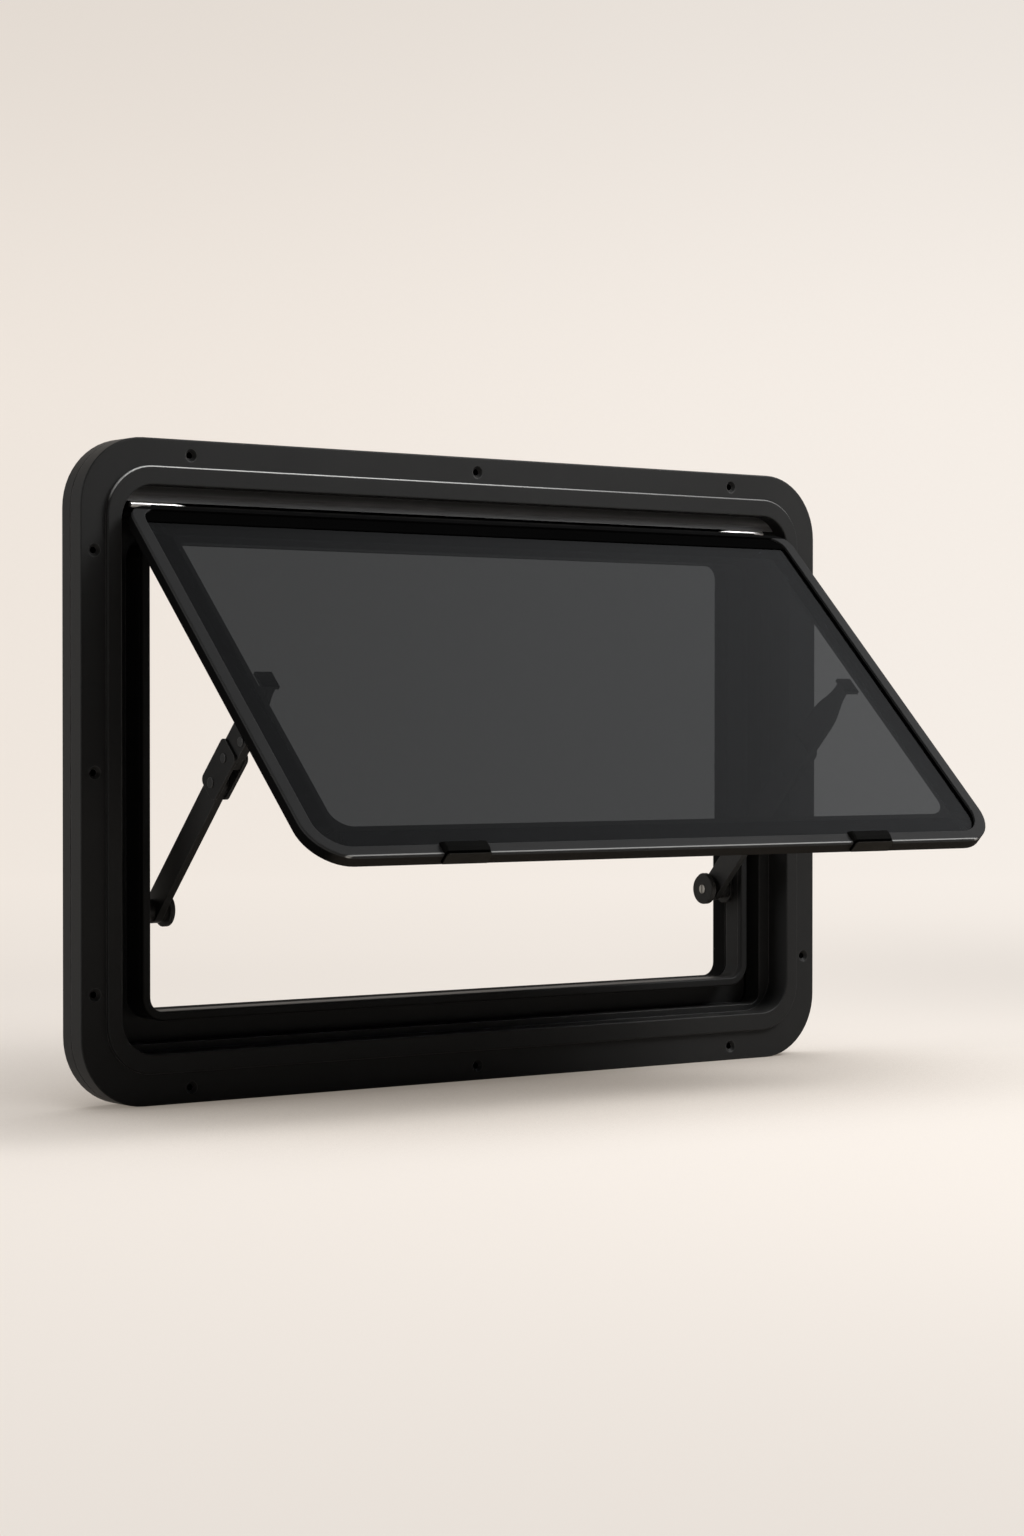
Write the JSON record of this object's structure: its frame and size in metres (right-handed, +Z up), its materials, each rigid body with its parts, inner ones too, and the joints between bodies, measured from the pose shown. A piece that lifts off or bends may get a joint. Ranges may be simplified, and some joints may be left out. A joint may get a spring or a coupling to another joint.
{
  "type": "caravan window",
  "caption": "Top-hung caravan window: flanged frame with screw holes, tinted sash propped open on side stays with clamp knobs.",
  "frame": {"origin": "on the frame's face that meets the wall, centred on its width, 16 mm above its lowest edge", "axes": "+X along the width, +Y inwards through the wall, +Z up"},
  "size_m": [0.65, 0.2884, 0.45],
  "materials": {
    "frame_coat": "fine matt powder coat on aluminium",
    "sash_coat": "satin powder coat on aluminium",
    "stay_coat": "satin black coat on steel",
    "fixing_black": "blackened steel",
    "seal_rubber": "matt",
    "tinted_glass": "dark tint, polished",
    "border_print": "black ceramic print behind the glass",
    "moulded_black": "fine moulded grain",
    "pin_steel": "polished stainless",
    "screw_steel": "turned, dull"
  },
  "bodies": {
    "frame": {"outer_frame": "frame_coat", "frame_seal": "seal_rubber", "hinge_rail": "frame_coat", "hinge_pin": "pin_steel", "header_strip": "frame_coat", "left_end_stop": "pin_steel", "right_end_stop": "pin_steel"},
    "sash": {"sash_frame": "sash_coat", "glazing_gasket": "seal_rubber", "glass_pane": "tinted_glass", "glass_border": "border_print", "glazing_bead": "sash_coat", "hinge_leaf": "sash_coat", "left_clip": "moulded_black", "right_clip": "moulded_black", "left_stay_tongue": "stay_coat", "right_stay_tongue": "stay_coat", "left_stay_sleeve": "stay_coat", "right_stay_sleeve": "stay_coat", "left_sleeve_screws": "fixing_black", "right_sleeve_screws": "fixing_black", "left_stay_rivet": "fixing_black", "right_stay_rivet": "fixing_black"},
    "left_arm": {"left_stay_bar": "stay_coat"},
    "right_arm": {"right_stay_bar": "stay_coat"},
    "left_slider": {"left_stay_slider": "moulded_black"},
    "right_slider": {"right_stay_slider": "moulded_black"},
    "left_knob": {"left_stay_knob": "moulded_black", "left_knob_screw": "screw_steel"},
    "right_knob": {"right_stay_knob": "moulded_black", "right_knob_screw": "screw_steel"}
  },
  "joints": [
    {"name": "sash_hinge", "type": "hinge", "parent": "frame", "child": "sash", "pos_m": [0, 0.004, 0.3864], "axis": [1, 0, 0], "range_deg": [0, 45.5]},
    {"name": "left_arm_pivot", "type": "hinge", "parent": "sash", "child": "left_arm", "pos_m": [-0.25, -0.07598, 0.2025], "axis": [1, 0, 0], "range_deg": [-125.7, 0]},
    {"name": "right_arm_pivot", "type": "hinge", "parent": "sash", "child": "right_arm", "pos_m": [0.25, -0.07598, 0.2025], "axis": [1, 0, 0], "range_deg": [-125.7, 0]},
    {"name": "left_slider_pivot", "type": "hinge", "parent": "left_arm", "child": "left_slider", "pos_m": [-0.25, 0.008, 0.114], "axis": [1, 0, 0], "range_deg": [0, 80.2]},
    {"name": "right_slider_pivot", "type": "hinge", "parent": "right_arm", "child": "right_slider", "pos_m": [0.25, 0.008, 0.114], "axis": [1, 0, 0], "range_deg": [0, 80.2]},
    {"name": "left_knob_turn", "type": "hinge", "parent": "left_slider", "child": "left_knob", "pos_m": [-0.245, 0.008, 0.114], "axis": [1, 0, 0], "range_deg": [-90, 90]},
    {"name": "right_knob_turn", "type": "hinge", "parent": "right_slider", "child": "right_knob", "pos_m": [0.245, 0.008, 0.114], "axis": [1, 0, 0], "range_deg": [-90, 90]}
  ],
  "couplings": [
    {"joint": "left_arm_pivot", "follows": "sash_hinge", "ratio": -2.7615},
    {"joint": "right_arm_pivot", "follows": "sash_hinge", "ratio": -2.7615},
    {"joint": "left_slider_pivot", "follows": "sash_hinge", "ratio": 1.7615},
    {"joint": "right_slider_pivot", "follows": "sash_hinge", "ratio": 1.7615}
  ]
}
